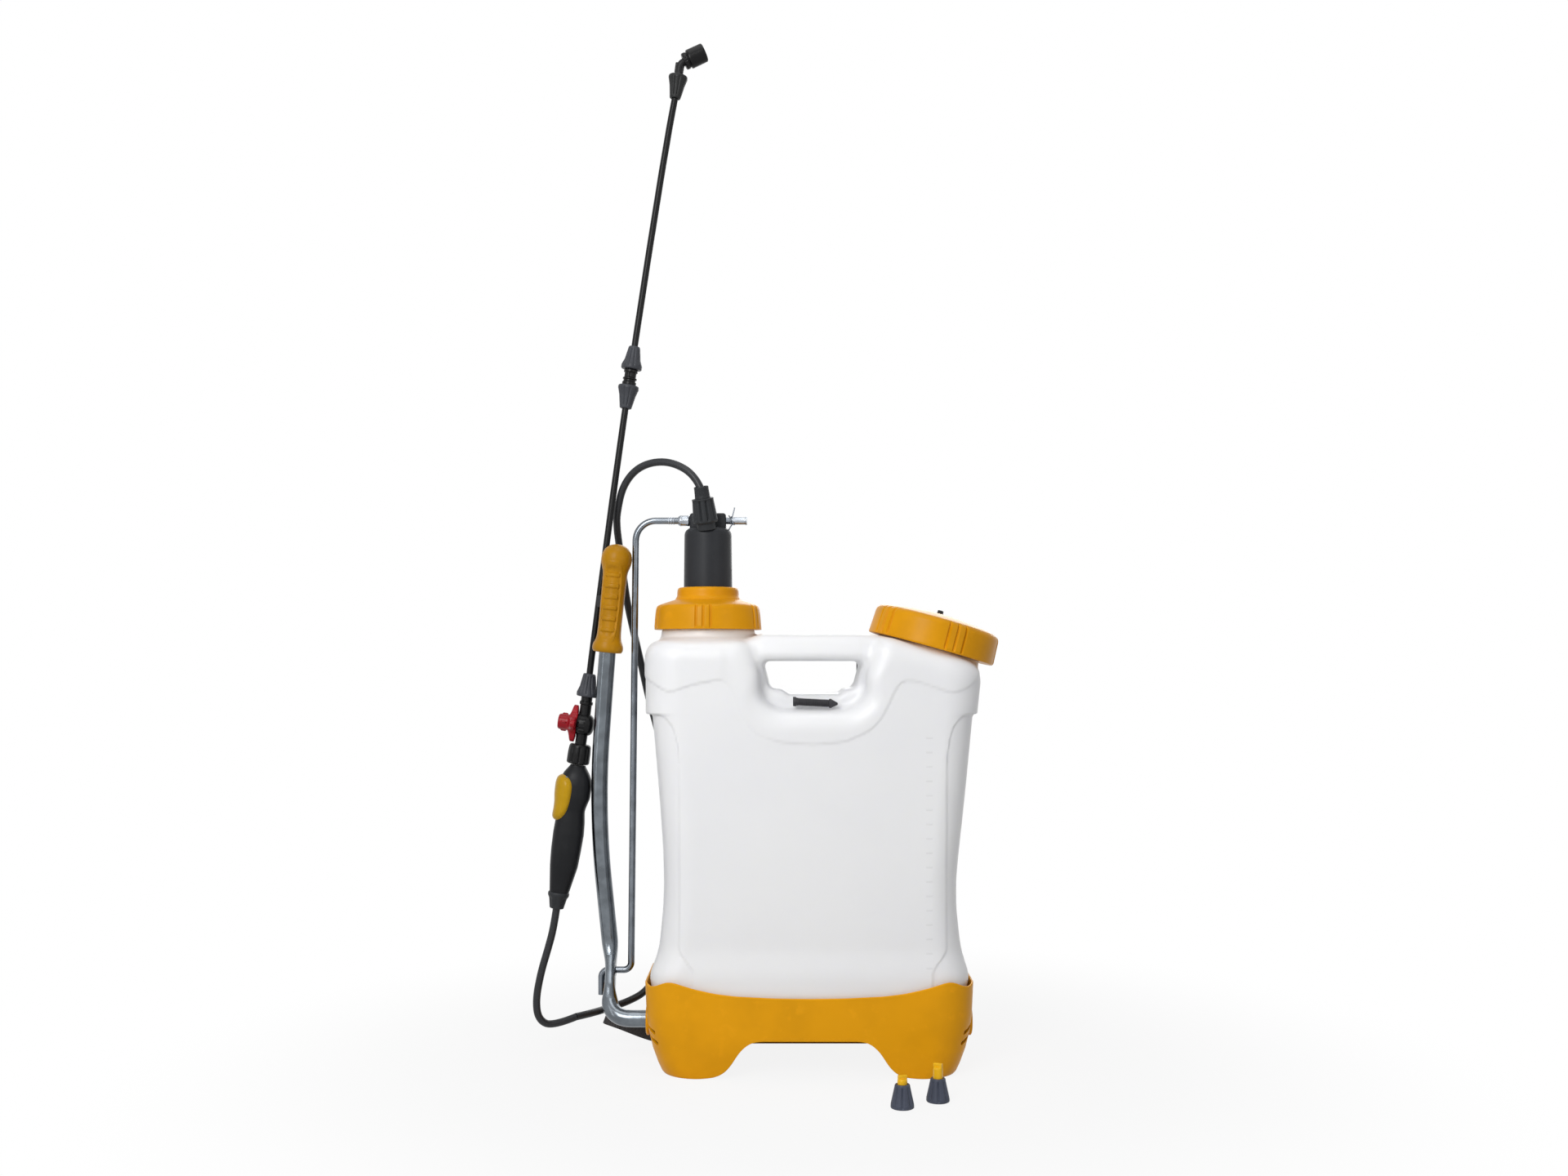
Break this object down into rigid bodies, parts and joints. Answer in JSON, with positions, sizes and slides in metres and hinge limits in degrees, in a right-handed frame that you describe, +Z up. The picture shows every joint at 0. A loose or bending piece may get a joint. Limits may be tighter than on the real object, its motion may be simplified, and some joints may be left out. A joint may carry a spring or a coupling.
{
  "type": "backpack sprayer",
  "caption": "Backpack sprayer: translucent tank on a skirted base, side pump lever and link rod, hose, trigger gun and lance with adjustable nozzle, screw filler lid.",
  "frame": {"origin": "middle of the base's foot rim, on the floor", "axes": "+X is the wearer's right, +Y points to the wearer's back, +Z up"},
  "size_m": [0.5631, 0.3235, 1.227],
  "materials": {
    "tank_plastic": "satin translucent",
    "yellow_plastic": "satin",
    "slate_plastic": "satin",
    "black_plastic": "satin",
    "zinc_steel": "zinc plated",
    "hose_rubber": "matte",
    "seal_rubber": "matte",
    "webbing": "woven",
    "padding": "woven",
    "red_plastic": "satin",
    "trigger_plastic": "satin",
    "tip_plastic": "satin",
    "bearing_plastic": "satin"
  },
  "bodies": {
    "root": {"tank": "tank_plastic", "base": "yellow_plastic", "axle_bushes": "bearing_plastic", "pump_gasket": "seal_rubber", "pump_body": "slate_plastic", "pump_cap": "yellow_plastic", "pump_collar": "yellow_plastic", "foot_valve": "slate_plastic", "suction_strainer": "slate_plastic", "filler_basket": "slate_plastic", "hose_clip": "slate_plastic", "strap_anchor": "slate_plastic", "strap_pads": "padding", "strap_buckles": "slate_plastic", "strap_webs": "webbing", "strap_loop": "webbing", "hose_back": "hose_rubber"},
    "lever": {"lever_tube": "zinc_steel", "axle_retainer": "bearing_plastic", "lever_grip": "yellow_plastic", "parking_clip": "slate_plastic", "hose_grip": "hose_rubber"},
    "chamber": {"pump_chamber": "slate_plastic", "piston_rod": "slate_plastic", "piston": "slate_plastic", "piston_seal": "seal_rubber", "hose_nut": "slate_plastic", "hose_sleeve": "hose_rubber", "hose_top": "hose_rubber"},
    "link_rod": {"link_rod": "zinc_steel", "rod_collar": "zinc_steel", "hairpin_clip": "zinc_steel"},
    "lance": {"gun_tail_nut": "slate_plastic", "gun_handle": "slate_plastic", "trigger_pin": "zinc_steel", "trigger_spring": "zinc_steel", "gun_nut": "black_plastic", "valve_body": "black_plastic", "lance_lower_nut": "slate_plastic", "lance_lower_tube": "black_plastic", "coupler_lower_nut": "slate_plastic", "lance_coupler": "black_plastic", "coupler_upper_nut": "slate_plastic", "lance_upper_tube": "black_plastic", "lance_top_nut": "black_plastic", "nozzle_elbow": "black_plastic", "hose_lower": "hose_rubber"},
    "trigger": {"trigger": "trigger_plastic"},
    "plunger": {"valve_plunger": "black_plastic"},
    "knob": {"valve_knob": "red_plastic"},
    "nozzle_cap": {"nozzle_cap": "black_plastic"},
    "lid": {"filler_lid": "yellow_plastic", "lid_gasket": "seal_rubber", "lid_vent": "black_plastic"},
    "spare_filter": {"spare_filter": "slate_plastic"},
    "spare_nozzle_a": {"spare_nozzle_nut_a": "slate_plastic", "spare_nozzle_tip_a": "tip_plastic"},
    "spare_nozzle_b": {"spare_nozzle_nut_b": "slate_plastic", "spare_nozzle_tip_b": "tip_plastic"},
    "inlet_ball": {"inlet_ball": "zinc_steel"}
  },
  "joints": [
    {"name": "lever_swing", "type": "hinge", "parent": "root", "child": "lever", "pos_m": [0, -0.024, 0.056], "axis": [-1, 0, 0], "range_deg": [0, 40]},
    {"name": "chamber_slide", "type": "slide", "parent": "root", "child": "chamber", "axis": [0, 0, -1], "range_m": [0, 0.0407]},
    {"name": "rod_tilt", "type": "hinge", "parent": "chamber", "child": "link_rod", "pos_m": [-0.12, 0, 0.6477], "axis": [1, 0, 0], "range_deg": [0, 2.2]},
    {"name": "lance_pull", "type": "slide", "parent": "lever", "child": "lance", "axis": [-1, 0, 0], "range_m": [0, 0.04]},
    {"name": "trigger_squeeze", "type": "hinge", "parent": "lance", "child": "trigger", "pos_m": [-0.29073, 0.018, 0.33962], "axis": [0, -1, 0], "range_deg": [0, 8], "stiffness_Nm_per_rad": 0.5, "springref_deg": -1.72},
    {"name": "plunger_lift", "type": "slide", "parent": "lance", "child": "plunger", "axis": [-0.1449, 0, -0.9895], "range_m": [0, 0.003]},
    {"name": "knob_turn", "type": "hinge", "parent": "lance", "child": "knob", "pos_m": [-0.2724, 0.018, 0.40263], "axis": [-0.9895, 0, 0.1449], "range_deg": [0, 90]},
    {"name": "nozzle_turn", "type": "hinge", "parent": "lance", "child": "nozzle_cap", "pos_m": [-0.1552, 0.018, 1.20309], "axis": [0.9063, 0, 0.4226], "range_deg": [-180, 180]},
    {"name": "lid_lift", "type": "slide", "parent": "root", "child": "lid", "axis": [0.2402, 0, 0.9707], "range_m": [0, 0.06]},
    {"name": "spare_filter_pull", "type": "slide", "parent": "root", "child": "spare_filter", "axis": [0, -1, 0], "range_m": [0, 0.09]},
    {"name": "spare_nozzle_a_lift", "type": "slide", "parent": "root", "child": "spare_nozzle_a", "axis": [0, 0, 1], "range_m": [0, 0.05]},
    {"name": "spare_nozzle_b_lift", "type": "slide", "parent": "root", "child": "spare_nozzle_b", "axis": [0, 0, 1], "range_m": [0, 0.05]},
    {"name": "inlet_ball_lift", "type": "slide", "parent": "root", "child": "inlet_ball", "axis": [0, 0, 1], "range_m": [0, 0.0025]}
  ],
  "couplings": [
    {"joint": "chamber_slide", "follows": "lever_swing", "m_per_rad": 0.058223},
    {"joint": "rod_tilt", "follows": "lever_swing", "ratio": 0.054225},
    {"joint": "plunger_lift", "follows": "trigger_squeeze", "m_per_rad": 0.02077}
  ]
}
